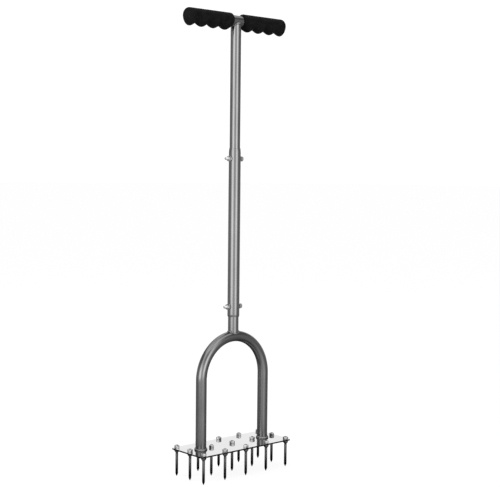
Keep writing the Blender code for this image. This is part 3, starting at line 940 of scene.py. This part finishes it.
ahead = Vector((math.sin(CAMERA_TURN), math.cos(CAMERA_TURN), 0.0))
rightward = Vector((math.cos(CAMERA_TURN), -math.sin(CAMERA_TURN), 0.0))


def dot(wire, way):
    """How far a direction or a place reaches along a way."""
    return wire.node("VectorMath", {"operation": "DOT_PRODUCT"}, {0: wire, 1: tuple(way)}, "Value")


def round_share(wire):
    """Where a direction lies round the tool: one half to the front, more to its right, 0 and 1 behind."""
    right, near = dot(wire, rightward), dot(wire, -ahead)
    return wire.math("ARCTAN2", right, near) * (1.0 / TURN) + 0.5


def tone_round(wire, table):
    """The radiance in a wire's direction, from a table of bearings in degrees and radiances."""
    stops = [(bearing / 360.0 + 0.5, radiance / BRIGHTEST) for bearing, radiance in table]
    return wire.node("ValToRGB", {"stops": stops}, {"Fac": round_share(wire)}) * BRIGHTEST


world = bpy.data.worlds.new("studio")
world.use_nodes = True
bpy.context.scene.world = world
sky = Wire(world.node_tree)
background = world.node_tree.nodes["Background"]
sight = sky.node("TexCoord", {}, {}, "Generated")
ray = sky.node("LightPath", {}, {}, "Is Glossy Ray")
twice = sky.node("LightPath", {}, {}, "Ray Depth").between(2.4, 2.6)
height = dot(sight, (0.0, 0.0, 1.0))
above = height.between(0.64, 0.84) * (1.0 - height.between(0.74, 0.92) * 0.5)
around = tone_round(sight, ROUND_THE_STUDIO) * (1.0 - height.between(0.15, 0.55) * 0.5)
around = around * (1.0 - above) + above * OVERHEAD
around = around * (1.0 - twice * (1.0 - SECOND_LOOK))
feed(background, {"Color": ray.blend(grey(PLAIN_WHITE), around)})

floor_mesh = bpy.data.meshes.new("floor")
floor_corners = [(east * FLOOR_REACH, north * FLOOR_REACH, 0.0) for east, north in FLOOR_TURN]
floor_mesh.from_pydata(floor_corners, [], [(0, 1, 2, 3)])
floor = bpy.data.objects.new("floor", floor_mesh)
bpy.context.scene.collection.objects.link(floor)
pale, start = finish_with("pale_floor", {})[:2]
place = start.node("TexCoord", {}, {}, "Object")
away = place.node("VectorMath", {"operation": "LENGTH"}, {0: place}, "Value")
# Shown to reflections only: a painted glow by bearing, with a painted shadow that darkens it close to the
# tool.
near_tone_with_painted_shadow = tone_round(place, ROUND_THE_FLOOR) * (0.25 + away.between(0.05, 0.5) * 0.75)
reflected = away.between(0.9, 3.2).blend(near_tone_with_painted_shadow, tone_round(place, ROUND_THE_STUDIO))
seen = start.node("LightPath", {}, {}, "Is Camera Ray")
glossy = start.node("LightPath", {}, {}, "Is Glossy Ray")
paper = start.node("Emission", {}, {"Color": grey(1.0), "Strength": 1.0})
mirrored = start.node("Emission", {}, {"Color": reflected})
matt = start.node("BsdfDiffuse", {}, {"Color": grey(0.85)})
lit = start.node("MixShader", {}, {0: seen * PAPER_SHARE, 1: matt, 2: paper})
shown = start.node("MixShader", {}, {0: glossy, 1: lit, 2: mirrored})
pale.node_tree.links.new(shown.socket, pale.node_tree.nodes["Material Output"].inputs["Surface"])
floor_mesh.materials.append(pale)


def soft_light(name, bearing, distance, height, wide, tall, power):
    """A soft light on a stand at a bearing from the camera's side of the tool, aimed at the pole."""
    lamp = bpy.data.lights.new(name, "AREA")
    lamp.shape = "RECTANGLE"
    lamp.size = wide
    lamp.size_y = tall
    lamp.energy = power
    made = bpy.data.objects.new(name, lamp)
    way = -ahead * math.cos(bearing) + rightward * math.sin(bearing)
    made.location = way * distance + Vector((0.0, 0.0, height))
    aim = Vector((0.0, 0.0, AIM_HEIGHT)) - made.location
    made.rotation_euler = aim.to_track_quat("-Z", "Y").to_euler()
    made.visible_camera = False
    made.visible_glossy = False
    bpy.context.scene.collection.objects.link(made)


soft_light("left_soft_light", math.radians(-78.0), 2.6, 1.4, 0.7, 1.8, 80.0)
soft_light("right_soft_light", math.radians(55.0), 2.6, 1.4, 0.7, 1.8, 18.0)
soft_light("overhead_soft_light", 0.0, 0.6, 2.6, 1.6, 1.6, 22.0)

camera_data = bpy.data.cameras.new("camera")
camera_data.lens = FOCAL_LENGTH
camera_data.sensor_width = 36.0
camera_data.clip_end = 200.0
camera = bpy.data.objects.new("camera", camera_data)
forward = ahead * math.cos(CAMERA_DIP) - Vector((0.0, 0.0, math.sin(CAMERA_DIP)))
downward = forward.cross(rightward)
right = rightward * math.cos(CAMERA_ROLL) + downward * math.sin(CAMERA_ROLL)
down = downward * math.cos(CAMERA_ROLL) - rightward * math.sin(CAMERA_ROLL)
pose = Matrix((right, -down, -forward)).transposed().to_4x4()
pose.translation = CAMERA_PLACE
camera.matrix_world = pose
bpy.context.scene.collection.objects.link(camera)
bpy.context.scene.camera = camera
bpy.context.scene.view_settings.view_transform = "Standard"
bpy.context.scene.view_settings.look = "None"
